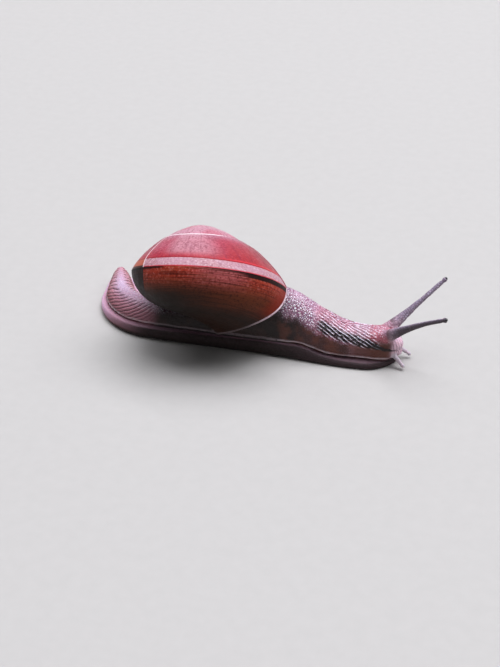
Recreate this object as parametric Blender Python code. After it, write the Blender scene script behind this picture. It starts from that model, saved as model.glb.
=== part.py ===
"""A left-handed land snail crawling with its tail swung to its left, at life size.

The frame is metres with +Z up and the floor at Z = 0. The head looks along +X and the snail's
left is +Y. All sizes below are in millimetres.
"""
import math

import bmesh
import bpy
import numpy as np
from mathutils import Matrix, Vector

MM = 0.001
GAP = 0.3  # clearance between neighbouring solids
FINE_GAP = 0.12  # the same round an eye

# ---- where the body's own axes lie: the middle of the object's box is at the origin
CENTRE = (15.9, 1.1)

# ---- the foot's middle line in plan: tail tip, a quarter circle, then straight to the head
TAIL_END = 15.0  # straight stretch behind the bend
TAIL_BEND = 14.0  # radius of the bend
BEND_ANGLE = math.radians(70.0)
BEND_X = -16.0  # where the straight body begins
BODY_START = TAIL_END + TAIL_BEND * BEND_ANGLE  # distance from the tail tip at BEND_X
FOOT_LENGTH = 102.0
FLESH_LENGTH = 103.6

# ---- sections of the body, by distance from the tail tip
#            distance  margin  groove  width  bottom   top  crown
SECTIONS = (
    (0.0, 2.5, 1.5, 1.8, 1.5, 4.2, 1.6),
    (7.0, 4.0, 2.0, 3.1, 2.0, 6.0, 1.6),
    (15.0, 5.7, 2.2, 4.6, 2.2, 7.4, 1.6),
    (24.0, 7.1, 2.4, 5.8, 2.4, 8.2, 1.7),
    (33.0, 7.7, 2.4, 6.4, 2.4, 8.8, 1.8),
    (48.0, 7.6, 2.4, 6.6, 2.4, 12.5, 2.0),
    (59.0, 7.3, 2.4, 6.6, 2.4, 17.4, 2.0),
    (67.0, 7.2, 2.4, 6.5, 2.4, 18.7, 2.0),
    (74.0, 7.3, 2.4, 6.5, 2.4, 16.8, 2.0),
    (81.0, 7.5, 2.4, 6.4, 2.4, 12.5, 2.1),
    (88.0, 7.6, 2.3, 6.0, 2.3, 9.4, 2.2),
    (94.0, 7.3, 2.1, 5.3, 2.1, 9.2, 2.2),
    (99.0, 6.8, 1.9, 4.9, 2.1, 10.1, 2.2),
    (103.6, 6.0, 1.8, 4.6, 2.1, 10.4, 2.2),
)
MARGIN_TUCK = 0.9  # how far the foot's edge draws in at the sole and at the groove
FOOT_ROUND = (5.0, 9.0)  # lengths over which the foot's outline rounds off, tail and front
FLESH_ROUND = (4.0, 7.0)
SNOUT_HEIGHT = 6.0  # height of the foremost point of the head

# ---- where the body is parted, by distance from the tail tip
TAIL_CUT = 30.0
TRUNK_CUT = 66.0
NECK_CUT = 89.0
FOOT_CUTS = (30.0, 70.0)

# ---- shell: a spiral about its own axis, apex at the shell's origin, growing to the lip
WHORLS = 4.6
EXPANSION = 1.49  # growth constant of a turn
LIP_RADIUS = 23.6  # from the axis to the keel at the lip
LIP_DROP = 18.5  # from the apex down to the keel at the lip
DROP_POWER = 1.6  # above 1 the spire is a dome
BASE_DEPTH = 12.1  # from the keel down to the underside at the lip
BASE_REACH = 0.255  # where the underside is lowest, as a share of the radius
UPPER_ROUND = 1.25  # superellipse power over the shoulder: 2 is an ellipse, lower is flatter
LOWER_ROUND = 2.1
SUTURE_ANGLE = math.radians(51.5)  # where the next whorl joins, along the shoulder
NAVEL_RISE = 5.5  # hollow of the underside at the axis
KEEL_SWEEP = math.radians(-3.5)  # how far the keel lags behind the suture along a growth line
BASE_SWEEP = math.radians(24.5)  # the same for the underside
SHELL_APEX = (-3.8, 6.6, 30.5)
SHELL_LEAN = math.radians(41.0)  # of the shell's axis from upright
SHELL_BEARING = math.radians(106.0)  # the way the axis leans, in plan
LIP_HEADING = math.radians(1.0)  # plan direction of the lip from the axis
COLUMNS = 36  # faces round one turn
SHOULDER_ROWS = 4
KEEL_ROWS = 3
BASE_ROWS = 6
NAVEL_ROWS = 3
LIP_BEAD = 0.45  # radius of the white rim
LIP_FORWARD = 1.1  # how far it lies in front of the shell's edge
MANTLE_CENTRE = (14.5, -18.0)  # (radius, height) in the mouth about which the mantle is drawn
MANTLE_INSET = 1.4  # from the mouth's edge in to the mantle's
MANTLE_BULGE = 4.5  # how far the mantle stands out of the mouth
MANTLE_DEPTH = 4.0  # how far it reaches back, to the mouth's wall

# ---- feelers: foot of the axis, tip, radii at the root, along the stalk and at the knob
FEELER_BOW = 0.035  # how far the stalks bow up, as a share of their length; the left one doesn't
UPPER_FEELER_RADII = (2.1, 0.66, 0.82)
LOWER_FEELER_RADII = (1.0, 0.56, 0.6)
UPPER_FEELER_ROOT = (50.5, 1.9, 8.0)
UPPER_FEELER_TIP_LEFT = (64.6, 11.0, 21.6)
UPPER_FEELER_TIP_RIGHT = (67.6, -9.0, 20.9)
LOWER_FEELER_ROOT = (51.8, 1.9, 4.3)
LOWER_FEELER_TIP_LEFT = (57.5, 2.2, 0.9)
LOWER_FEELER_TIP_RIGHT = (56.7, -4.2, 0.8)
MOUTH_CENTRE = (53.7, 0.0, 3.1)
MOUTH_SIZE = (1.7, 1.7, 1.1)  # half sizes
EYE_RADIUS = 0.55


def clear_scene():
    for old in list(bpy.data.objects):
        bpy.data.objects.remove(old)


def new_collection(name):
    made = bpy.data.collections.new(name)
    bpy.context.scene.collection.children.link(made)
    return made


def material(name, colour, roughness, metallic=0.0):
    made = bpy.data.materials.new(name)
    made.use_nodes = True
    shader = made.node_tree.nodes["Principled BSDF"]
    shader.inputs["Base Color"].default_value = (*colour, 1.0)
    shader.inputs["Roughness"].default_value = roughness
    shader.inputs["Metallic"].default_value = metallic
    return made


def add_object(name, mesh, finish, collection):
    made = bpy.data.objects.new(name, mesh)
    collection.objects.link(made)
    if finish is not None:
        mesh.materials.append(finish)
    mesh.shade_smooth()
    mesh.set_sharp_from_angle(angle=math.radians(40))
    return made


def eased(distance, reach):
    """1 away from an end, falling to 0 at it as a quarter ellipse does."""
    near = np.clip(1 - distance / reach, 0, 1)
    return np.sqrt(1 - near**2)


def section_at(distance):
    """The section's six sizes at a distance from the tail tip, on a smooth curve."""
    table = np.array(SECTIONS)
    knots, values = table[:, 0], table[:, 1:]
    slopes = np.gradient(values, knots, axis=0)
    i = int(np.clip(np.searchsorted(knots, distance) - 1, 0, len(knots) - 2))
    step = knots[i + 1] - knots[i]
    t = (distance - knots[i]) / step
    return (
        (2 * t**3 - 3 * t**2 + 1) * values[i]
        + (t**3 - 2 * t**2 + t) * step * slopes[i]
        + (3 * t**2 - 2 * t**3) * values[i + 1]
        + (t**3 - t**2) * step * slopes[i + 1]
    )


def middle_line(distance):
    """Plan point and heading of the body's middle line at a distance from the tail tip."""
    if distance > BODY_START:
        return (BEND_X + distance - BODY_START, 0.0), 0.0
    turn = min(BEND_ANGLE, (BODY_START - distance) / TAIL_BEND)
    beyond = max(0.0, TAIL_END - distance)
    x = BEND_X - TAIL_BEND * math.sin(turn) - beyond * math.cos(turn)
    y = TAIL_BEND * (1 - math.cos(turn)) + beyond * math.sin(turn)
    return (x, y), -turn


def stand_up(distance, outline):
    """An outline of (side, height) pairs, set upright across the middle line."""
    (x, y), heading = middle_line(distance)
    side, height = np.array(outline).T
    return np.stack(
        [x - side * math.sin(heading), y + side * math.cos(heading), height], axis=1
    )


def foot_outline(distance):
    """Sole, rolled margin and the flat under the groove."""
    margin, groove = section_at(distance)[:2]
    margin *= eased(distance, FOOT_ROUND[0]) * eased(FOOT_LENGTH - distance, FOOT_ROUND[1])
    tuck = min(MARGIN_TUCK, 0.4 * margin)
    top = groove - GAP / 2
    right = [
        (-(margin - tuck), 0.0),
        (-(margin - 0.25 * tuck), 0.22 * top),
        (-margin, 0.5 * top),
        (-(margin - 0.3 * tuck), 0.8 * top),
        (-(margin - tuck), top),
    ]
    return right + [(-side, height) for side, height in reversed(right)]


def flesh_outline(distance, points=20):
    """The body above the groove: flat below, a superellipse above, whole round at the snout."""
    _, _, width, bottom, top, crown = section_at(distance)
    ends = eased(distance - 0.8, FLESH_ROUND[0]) * eased(FLESH_LENGTH - distance, FLESH_ROUND[1])
    snout = 1 - eased(FLESH_LENGTH - distance, FLESH_ROUND[1])
    middle = bottom + snout * (SNOUT_HEIGHT - bottom)
    width *= ends
    rise = (top - middle) * (ends if distance > BODY_START else ends**0.5)
    fall = (middle - bottom) * ends
    outline = []
    for i in range(points):
        angle = math.pi * i / (points - 1)
        side = -width * math.copysign(abs(math.cos(angle)) ** (2 / crown), math.cos(angle))
        outline.append((side, middle + GAP / 2 + rise * abs(math.sin(angle)) ** (2 / crown)))
    for i in range(1, points // 2):
        angle = math.pi * i / (points // 2)
        outline.append((width * math.cos(angle), middle + GAP / 2 - fall * math.sin(angle)))
    return outline[::-1]


def loft(rings):
    """A closed mesh through rings of equal count, with its two ends filled."""
    shape = bmesh.new()
    rows = [[shape.verts.new(Vector(point) * MM) for point in ring] for ring in rings]
    count = len(rings[0])
    for first, second in zip(rows, rows[1:]):
        for i in range(count):
            shape.faces.new((first[i], first[(i + 1) % count], second[(i + 1) % count], second[i]))
    shape.faces.new(rows[0][::-1])
    shape.faces.new(rows[-1])
    bmesh.ops.remove_doubles(shape, verts=shape.verts, dist=0.005 * MM)
    bmesh.ops.recalc_face_normals(shape, faces=shape.faces)
    mesh = bpy.data.meshes.new("loft")
    shape.to_mesh(mesh)
    shape.free()
    return mesh


def stations(start, end, step, length, rounds):
    """Distances from start to end, bunched towards an end that rounds off."""
    leans = [math.pi / 2 * i / 6 for i in range(6)]
    first, last = start, end
    before, after = [], []
    if start < 1:
        first = start + rounds[0]
        before = [first - rounds[0] * math.cos(lean) for lean in leans]
    if end > length - 1:
        last = length - rounds[1]
        after = [last + rounds[1] * math.cos(lean) for lean in reversed(leans)]
    count = max(2, round((last - first) / step) + 1)
    return [*before, *np.linspace(first, last, count), *after]


def foot_piece(name, start, end, finish, collection):
    places = stations(start, end, 3.6, FOOT_LENGTH, FOOT_ROUND)
    rings = [stand_up(place, foot_outline(place)) for place in places]
    return add_object(name, loft(rings), finish, collection)


def flesh_piece(name, start, end, finish, collection):
    places = stations(start, end, 3.0, FLESH_LENGTH, FLESH_ROUND)
    rings = [stand_up(place, flesh_outline(place)) for place in places]
    return add_object(name, loft(rings), finish, collection)


def shell_frame():
    """Shell axes as the columns of a matrix: lip direction, onward growth, apex."""
    level = math.sin(SHELL_LEAN)
    axis = Vector(
        (level * math.cos(SHELL_BEARING), level * math.sin(SHELL_BEARING), math.cos(SHELL_LEAN))
    )
    lip = Vector((math.cos(LIP_HEADING), math.sin(LIP_HEADING), 0))
    lip = (lip - axis * lip.dot(axis)).normalized()
    onward = axis.cross(lip)
    turned = Matrix((lip, onward, axis)).transposed().to_4x4()
    return Matrix.Translation(Vector(SHELL_APEX)) @ turned


def growth(turn):
    """Size at a turn as a share of the size at the lip: nothing at the apex, 1 at the lip."""
    return (EXPANSION**turn - 1) / (EXPANSION**WHORLS - 1)


def shoulder_point(turn, angle):
    """(radius, height) on a whorl from its suture, angle 0, out to the keel, a right angle."""
    if turn <= 0:
        return np.zeros(2)
    size = growth(turn)
    keel = np.array([LIP_RADIUS * size, -LIP_DROP * size**DROP_POWER])
    suture = shoulder_point(turn - 1, SUTURE_ANGLE)
    out = math.sin(angle) ** (2 / UPPER_ROUND)
    up = max(0.0, math.cos(angle)) ** (2 / UPPER_ROUND)
    return np.array([suture[0] + (keel[0] - suture[0]) * out, keel[1] + (suture[1] - keel[1]) * up])


def base_point(turn, angle):
    """(radius, height) from the keel, angle 0, in under the whorl, a right angle."""
    size = growth(turn)
    keel_radius, keel_height = LIP_RADIUS * size, -LIP_DROP * size**DROP_POWER
    reach = keel_radius * BASE_REACH
    side = max(0.0, math.cos(angle)) ** (2 / LOWER_ROUND)
    down = math.sin(angle) ** (2 / LOWER_ROUND)
    return np.array([reach + (keel_radius - reach) * side, keel_height - BASE_DEPTH * size * down])


def navel_point(turn, share):
    """(radius, height) from the lowest ring, share 0, to the axis, share 1."""
    radius, height = base_point(turn, math.pi / 2)
    rise = NAVEL_RISE * growth(turn)
    return np.array([radius * (1 - share), height + rise * math.sin(share * math.pi / 2) ** 2])


def flat_point(turn, row):
    """(radius, height) of a row of the growth line at this turn."""
    keel_row = SHOULDER_ROWS + KEEL_ROWS
    base_row = keel_row + BASE_ROWS
    if row <= SHOULDER_ROWS:
        return shoulder_point(turn, SUTURE_ANGLE * row / SHOULDER_ROWS)
    if row <= keel_row:
        share = (row - SHOULDER_ROWS) / KEEL_ROWS
        return shoulder_point(turn, SUTURE_ANGLE + (math.pi / 2 - SUTURE_ANGLE) * share)
    if row <= base_row:
        return base_point(turn, math.pi / 2 * (row - keel_row) / BASE_ROWS)
    return navel_point(turn, (row - base_row) / NAVEL_ROWS)


def sweep(row):
    """Angle by which a row of the growth line lags: it bends at the keel and runs back below it."""
    keel_row = SHOULDER_ROWS + KEEL_ROWS
    if row <= keel_row:
        above = min(1.0, (keel_row - row) / KEEL_ROWS)
        return KEEL_SWEEP * math.cos(above * math.pi / 2) ** 2
    below = min(1.0, (row - keel_row) / BASE_ROWS)
    return KEEL_SWEEP + (BASE_SWEEP - KEEL_SWEEP) * math.sin(below * math.pi / 2) ** 2


def shell_point(turn, row, forward=0.0):
    """Place of a row of the growth line at this turn, in the shell's own axes.

    It can be moved forward, the way the shell grows.
    """
    radius, height = flat_point(turn, row)
    angle = 2 * math.pi * (turn - WHORLS) - sweep(row)
    across, onward = math.cos(angle), math.sin(angle)
    return Vector(
        (radius * across - forward * onward, radius * onward + forward * across, height)
    )


def shell_mesh():
    """The spiral's outer surface and the wall across its mouth.

    Each whorl's strip of faces shares its upper edge with the lower edge of the strip one turn
    earlier. The last turn goes on past the keel and under to the axis. The wall runs from each row
    of the lip to the same row one turn earlier.
    """
    shape = bmesh.new()
    frame = shell_frame()
    total = round(WHORLS * COLUMNS)
    last_row = SHOULDER_ROWS + KEEL_ROWS + BASE_ROWS + NAVEL_ROWS
    apex = shape.verts.new(Vector(SHELL_APEX) * MM)
    grid = {}
    for column in range(total + 1):
        turn = WHORLS * column / total
        rows = last_row if column >= total - COLUMNS else SHOULDER_ROWS
        for row in range(rows + 1):
            if column == 0 or (row == 0 and column < COLUMNS):
                grid[column, row] = apex
            elif row == 0:
                grid[column, row] = grid[column - COLUMNS, SHOULDER_ROWS]
            else:
                grid[column, row] = shape.verts.new(frame @ shell_point(turn, row) * MM)
    for column in range(total):
        rows = last_row if column >= total - COLUMNS else SHOULDER_ROWS
        for row in range(rows):
            corners = [
                grid[column, row],
                grid[column, row + 1],
                grid[column + 1, row + 1],
                grid[column + 1, row],
            ]
            loop = [v for i, v in enumerate(corners) if v is not corners[i - 1]]
            if len(loop) > 2:
                shape.faces.new(loop)
    before = total - COLUMNS
    for row in range(last_row):
        corners = [
            grid[total, row],
            grid[total, row + 1],
            grid[before, max(row + 1, SHOULDER_ROWS)],
            grid[before, max(row, SHOULDER_ROWS)],
        ]
        if row == last_row - 1:
            corners[2:2] = [grid[column, last_row] for column in range(total - 1, before, -1)]
        loop = [v for i, v in enumerate(corners) if v is not corners[i - 1]]
        if len(loop) > 2:
            shape.faces.new(loop)
    bmesh.ops.recalc_face_normals(shape, faces=shape.faces)
    mesh = bpy.data.meshes.new("shell")
    shape.to_mesh(mesh)
    shape.free()
    return mesh


def mouth_outline(inset, count=30):
    """The mouth's outline in (radius, height), drawn in by a distance and star-shaped."""
    last_row = SHOULDER_ROWS + KEEL_ROWS + BASE_ROWS
    rim = [flat_point(WHORLS, row) for row in range(last_row + 1)]
    inner = [flat_point(WHORLS - 1, row) for row in range(last_row, SHOULDER_ROWS, -1)]
    rim = [np.array(point) for point in rim + inner]
    centre = np.array(MANTLE_CENTRE)
    outline = []
    for i in range(count):
        angle = 2 * math.pi * i / count
        ray = np.array([math.cos(angle), math.sin(angle)])
        reach = 0.0
        for start, end in zip(rim, rim[1:] + rim[:1]):
            sides = np.array([ray, start - end]).T
            if abs(np.linalg.det(sides)) > 1e-9:
                along, share = np.linalg.solve(sides, start - centre)
                if along > 0 and -1e-9 <= share <= 1 + 1e-9:
                    reach = max(reach, along)
        outline.append(centre + ray * max(0.5, reach - inset))
    return outline


def tube(name, points, radii, finish, collection, sides=12):
    """A curve through points with a radius at each, made a closed mesh with welded ends."""
    curve = bpy.data.curves.new(name, "CURVE")
    curve.dimensions = "3D"
    curve.bevel_depth = MM
    curve.bevel_resolution = sides // 2 - 2
    curve.use_fill_caps = True
    spline = curve.splines.new("POLY")
    spline.points.add(len(points) - 1)
    for spot, place, radius in zip(spline.points, points, radii):
        spot.co = (*(Vector(place) * MM), 1)
        spot.radius = radius
    line = bpy.data.objects.new(name + "_line", curve)
    collection.objects.link(line)
    bpy.context.view_layer.update()
    graph = bpy.context.evaluated_depsgraph_get()
    mesh = bpy.data.meshes.new_from_object(line.evaluated_get(graph))
    bpy.data.objects.remove(line)
    shape = bmesh.new()
    shape.from_mesh(mesh)
    bmesh.ops.remove_doubles(shape, verts=shape.verts, dist=0.002 * MM)
    bmesh.ops.recalc_face_normals(shape, faces=shape.faces)
    shape.to_mesh(mesh)
    shape.free()
    return add_object(name, mesh, finish, collection)


def feeler(name, root, tip, bow, radii, finish, collection):
    """A tapering feeler, bowed a little upwards, with a rounded knob at its tip."""
    root_radius, neck_radius, knob_radius = radii
    root, tip = Vector(root), Vector(tip)
    length = (tip - root).length
    rise = Vector((0, 0, bow * length))
    shares = [0, 0.12, 0.25, 0.4, 0.55, 0.7, 0.82, 0.91]
    knob_start = 1 - 2 * knob_radius / length
    knob = [knob_start + (1 - knob_start) * (1 - math.cos(math.pi * i / 10)) / 2 for i in range(3, 10)]
    points, radii = [], []
    for share in [s for s in shares if s < knob[0] - 0.02] + knob:
        points.append(root.lerp(tip, share) + rise * math.sin(math.pi * share))
        slim = neck_radius + (root_radius - neck_radius) * (1 - share) ** 2.2
        if share >= knob[0]:
            across = (share - knob_start) / (1 - knob_start) * 2 - 1
            slim = max(0.12, knob_radius * math.sqrt(max(0.0, 1 - across**2)))
        radii.append(slim)
    return tube(name, points, radii, finish, collection)


def ball(name, centre, size, finish, collection):
    """An ellipsoid of the given half sizes."""
    shape = bmesh.new()
    bmesh.ops.create_uvsphere(shape, u_segments=12, v_segments=8, radius=MM)
    bmesh.ops.scale(shape, verts=shape.verts, vec=Vector(size))
    bmesh.ops.translate(shape, verts=shape.verts, vec=Vector(centre) * MM)
    mesh = bpy.data.meshes.new(name)
    shape.to_mesh(mesh)
    shape.free()
    return add_object(name, mesh, finish, collection)


def lip_rim(finish, collection):
    """The white bead round the mouth, from near the suture to the navel."""
    last_row = SHOULDER_ROWS + KEEL_ROWS + BASE_ROWS + 1
    rows = [row / 2 for row in range(4, 2 * last_row + 1)]
    points = [shell_frame() @ shell_point(WHORLS, row, LIP_FORWARD) for row in rows]
    return tube("shell_lip", points, [LIP_BEAD] * len(points), finish, collection, sides=8)


def mantle(finish, collection):
    """The cushion of flesh that fills the mouth and stands out of it."""
    outline = mouth_outline(MANTLE_INSET)
    centre = np.array(MANTLE_CENTRE)
    rings = []
    for step in range(-2, 8):
        lean = math.pi / 2 * max(0, step) / 7
        size = max(0.04, math.cos(lean) ** 0.8)
        rise = GAP + MANTLE_BULGE * math.sin(lean) + MANTLE_DEPTH * min(0, step) / 2
        flat = [centre + (point - centre) * size for point in outline]
        rings.append([shell_frame() @ Vector((side, rise, height)) for side, height in flat])
    return add_object("mantle", loft(rings), finish, collection)


def swollen(target, amount, cutters):
    """A copy of an object, larger by a clearance all round, kept as a cutter."""
    copy = bpy.data.objects.new(target.name + "_clearance", target.data.copy())
    cutters.objects.link(copy)
    copy.hide_render = True
    copy.display_type = "WIRE"
    for source in target.modifiers:
        again = copy.modifiers.new(source.name, source.type)
        again.object = source.object
        again.operation = source.operation
    push = copy.modifiers.new("clearance", "DISPLACE")
    push.direction = "NORMAL"
    push.mid_level = 0.0
    push.strength = amount * MM
    return copy


def cut(target, *tools):
    for tool in tools:
        trim = target.modifiers.new("cut_" + tool.name, "BOOLEAN")
        trim.operation = "DIFFERENCE"
        trim.object = tool


def main():
    clear_scene()
    parts = new_collection("land_snail")
    cutters = new_collection("cutters")
    skin = material("skin", (0.30, 0.16, 0.17), 0.35)
    sole = material("sole", (0.26, 0.14, 0.13), 0.40)
    shell_red = material("shell", (0.22, 0.03, 0.02), 0.22)
    rim_white = material("rim", (0.72, 0.58, 0.60), 0.30)
    eye_black = material("eye", (0.01, 0.01, 0.012), 0.10)

    shell = add_object("shell", shell_mesh(), shell_red, parts)
    rim = lip_rim(rim_white, parts)
    cushion = mantle(skin, parts)

    foot_piece("foot_rear", 0.0, FOOT_CUTS[0] - GAP / 2, sole, parts)
    foot_piece("foot_middle", FOOT_CUTS[0] + GAP / 2, FOOT_CUTS[1] - GAP / 2, sole, parts)
    foot_piece("foot_front", FOOT_CUTS[1] + GAP / 2, FOOT_LENGTH, sole, parts)

    tail = flesh_piece("tail", 0.8, TAIL_CUT - GAP / 2, skin, parts)
    trunk = flesh_piece("trunk", TAIL_CUT + GAP / 2, TRUNK_CUT - GAP / 2, skin, parts)
    neck = flesh_piece("neck", TRUNK_CUT + GAP / 2, NECK_CUT - GAP / 2, skin, parts)
    head = flesh_piece("head", NECK_CUT + GAP / 2, FLESH_LENGTH, skin, parts)

    room = [swollen(shell, GAP, cutters)]
    cut(cushion, room[0])
    room += [swollen(piece, GAP, cutters) for piece in (rim, cushion)]
    for piece in (trunk, neck):
        cut(piece, *room)
    cut(tail, room[0])

    head_room = swollen(head, GAP, cutters)
    lips = ball("mouth", MOUTH_CENTRE, MOUTH_SIZE, skin, parts)
    cut(lips, head_room)
    for side, mirror, tip, low_tip, bow in (
        ("left", 1, UPPER_FEELER_TIP_LEFT, LOWER_FEELER_TIP_LEFT, 0.0),
        ("right", -1, UPPER_FEELER_TIP_RIGHT, LOWER_FEELER_TIP_RIGHT, FEELER_BOW),
    ):
        root = Vector(UPPER_FEELER_ROOT)
        root.y *= mirror
        stalk = feeler(f"upper_feeler_{side}", root, tip, bow, UPPER_FEELER_RADII, skin, parts)
        reach = (Vector(tip) - root).normalized()
        eye_size = (EYE_RADIUS, EYE_RADIUS, EYE_RADIUS)
        eye = ball(f"eye_{side}", Vector(tip) - reach * 0.45, eye_size, eye_black, parts)
        cut(stalk, head_room, swollen(eye, FINE_GAP, cutters))
        root = Vector(LOWER_FEELER_ROOT)
        root.y *= mirror
        palp = feeler(
            f"lower_feeler_{side}", root, low_tip, FEELER_BOW, LOWER_FEELER_RADII, skin, parts
        )
        cut(palp, head_room)

    middle = bpy.data.objects.new("snail", None)
    parts.objects.link(middle)
    for piece in [*parts.objects, *cutters.objects]:
        if piece is not middle:
            piece.parent = middle
    middle.location = (-CENTRE[0] * MM, -CENTRE[1] * MM, 0)


main()
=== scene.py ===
# A banded land snail crawling, dressed over its imported solids. Lengths in the dictionaries are in
# millimetres and angles in degrees, but the stage, the camera and the meshes made are in metres.
from math import cos, pi, radians, sin

import bmesh
import bpy
import numpy as np
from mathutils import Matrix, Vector


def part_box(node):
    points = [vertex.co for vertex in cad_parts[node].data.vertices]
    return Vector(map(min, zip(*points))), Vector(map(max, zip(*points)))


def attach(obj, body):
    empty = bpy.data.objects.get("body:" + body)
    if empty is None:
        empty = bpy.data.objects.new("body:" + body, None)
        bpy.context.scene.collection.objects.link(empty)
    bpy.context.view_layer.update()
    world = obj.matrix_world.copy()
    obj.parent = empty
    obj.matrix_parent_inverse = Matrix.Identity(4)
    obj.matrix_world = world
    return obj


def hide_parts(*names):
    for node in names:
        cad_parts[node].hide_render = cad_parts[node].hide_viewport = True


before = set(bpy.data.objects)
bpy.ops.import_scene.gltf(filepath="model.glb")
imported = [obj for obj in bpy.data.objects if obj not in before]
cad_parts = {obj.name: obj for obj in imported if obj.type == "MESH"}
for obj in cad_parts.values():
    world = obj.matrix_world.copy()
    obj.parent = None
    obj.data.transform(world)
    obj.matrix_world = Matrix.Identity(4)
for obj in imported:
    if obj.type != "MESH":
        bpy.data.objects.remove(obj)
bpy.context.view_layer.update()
print("frame loaded:", len(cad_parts), "nodes")

mm = 0.001
quarter = pi / 2

body = {
    "tailEnd": 15.0,  # length of the tail's straight tip, then the radius and angle of its bend
    "tailBend": 14.0,
    "bendAngle": 70.0,
    "bendX": -16.0,
    "footLength": 102.0,
    "fleshEnds": (0.8, 103.6),
    "footRound": (5.0, 9.0),  # lengths over which the ends are rounded, tail and head
    "fleshRound": (4.0, 7.0),
    "ringStep": 0.8,  # between the lofts' rings, and points round or across them
    "around": {"foot": 13, "flesh": 76, "mantle": 90, "feeler": 28, "lips": 32, "eye": 40},
    "snoutHeight": 6.0,
    "marginTuck": 0.9,
    "pinch": 0.11,  # share by which the body draws in just above the groove
    # distance from the tail tip, height of the groove over the fringe
    "grooveLine": ((0, 1.5), (8, 2.3), (15, 2.9), (21, 3.2), (29, 3.4), (42, 3.7), (62, 4.2),
                   (72, 4.4), (76, 4.4), (79, 3.7), (82, 2.8), (85.5, 2.3), (92, 2.1),
                   (103.6, 2.0)),
    # distance from the tail tip, half width of the foot and of the body, bottom, top, crown
    "sections": (
        (0, 2.5, 1.8, 1.5, 4.2, 1.6), (7, 4.0, 3.1, 2.0, 6.0, 1.6), (15, 5.7, 4.6, 2.2, 7.4, 1.6),
        (24, 7.1, 5.8, 2.4, 8.2, 1.7), (33, 7.7, 6.4, 2.4, 8.8, 1.8), (48, 7.6, 6.6, 2.4, 12.5, 2),
        (59, 7.3, 6.6, 2.4, 17.4, 2), (67, 7.2, 6.5, 2.4, 18.7, 2), (74, 7.3, 6.5, 2.4, 16.8, 2),
        (81, 7.5, 6.4, 2.4, 12.5, 2.1), (88, 7.6, 6, 2.3, 9.4, 2.2), (94, 7.3, 5.3, 2.1, 9.2, 2.2),
        (99, 6.8, 4.9, 2.1, 10.1, 2.2), (103.6, 6.0, 4.6, 2.1, 10.4, 2.2),
    ),
    "mantleInset": 0.95,
    "mantleBulge": 4.4,
    "mantleDepth": 3.6,
    "voxel": 0.240,
    "relax": (0.5, -0.52) * 6,  # steps towards the neighbours' mean and back
}
bendAngle = radians(body["bendAngle"])
bodyStart = body["tailEnd"] + body["tailBend"] * bendAngle
# the body's own axes: the front of the foot lies straight along them, so its solid shows them
footLow, footHigh = np.array(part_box("foot_front")) / mm
origin = np.array([body["bendX"] + body["footLength"] - bodyStart - footHigh[0],
                   -(footLow[1] + footHigh[1]) / 2, 0.0])


def smooth(low, high, value):
    # 0 up to low, 1 from high, an easy curve between; the other way round if low is the greater
    t = np.clip((np.asarray(value, float) - low) / (high - low), 0, 1)
    return t * t * (3 - 2 * t)


def span(value, start, full, fade, end):
    # rises from 0 at start to 1 at full, stays, and falls from fade to 0 at end
    return smooth(start, full, value) * smooth(end, fade, value)


def bump(centre, width, value):
    # a bell of height 1 about a centre
    return np.exp(-(((np.asarray(value, float) - centre) / width) ** 2))


def unit(vectors):
    # the same directions at length 1
    return vectors / (np.linalg.norm(vectors, axis=-1, keepdims=True) + 1e-12)


def turned(ahead):
    # directions in a plane turned a quarter to the left of others
    return unit(pack(-ahead[:, 1], ahead[:, 0]))


def circle(count):
    # angles evenly round a circle
    return np.linspace(0, 2 * pi, count, endpoint=False)


def pack(*parts):
    # arrays side by side on a new last axis
    return np.stack(np.broadcast_arrays(*parts), -1)


def join(*parts, axis=0):
    # arrays one after another
    return np.concatenate(parts, axis)


def wrapped(grid):
    # a grid whose first column comes again as its last
    return join(grid, grid[:, :1], axis=1)


def linear(hexColour):
    # an sRGB hex colour as the linear values that shaders take
    raw = np.array([int(hexColour[i:i + 2], 16) / 255 for i in (1, 3, 5)])
    made = np.where(raw <= 0.04045, raw / 12.92, ((raw + 0.055) / 1.055) ** 2.4)
    return (*[float(v) for v in made], 1.0)


def corners(grid):
    # the four corners of each quad between the rows and columns of a grid
    return np.stack([grid[:-1, :-1], grid[:-1, 1:], grid[1:, 1:], grid[1:, :-1]], 2).reshape(
        -1, 4, *grid.shape[2:])


def gridFaces(index, values):
    # quads of an index grid with the values at their corners; corners that coincide drop out
    quads, placed = corners(index), corners(values)
    same = quads == np.roll(quads, 1, axis=1)
    whole, slim = ~same.any(1), same.sum(1) == 1
    faces = quads[whole].tolist() + quads[slim][~same[slim]].reshape(-1, 3).tolist()
    return faces, [placed[whole].reshape(-1, values.shape[2]),
                   placed[slim][~same[slim]].reshape(-1, values.shape[2])]


def bareFaces(index):
    # the faces of an index grid alone
    return gridFaces(index, index[..., None])[0]


def newPiece(name, points, faces, attributes=None, charts=None):
    # points in millimetres about the body's own axes; an attribute has one number for each point;
    # charts are UV maps, one pair for each corner
    mesh = bpy.data.meshes.new(name)
    mesh.from_pydata(((points - origin) * mm).tolist(), [], faces)
    mesh.update()
    for label, values in (attributes or {}).items():
        layer = mesh.attributes.new(label, "FLOAT", "POINT")
        layer.data.foreach_set("value", np.asarray(values, np.float32))
    for label, pairs in (charts or {}).items():
        layer = mesh.uv_layers.new(name=label)
        layer.data.foreach_set("uv", np.asarray(pairs, np.float32).ravel())
    mesh.shade_smooth()
    piece = bpy.data.objects.new(name, mesh)
    bpy.context.scene.collection.objects.link(piece)
    return piece


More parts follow.
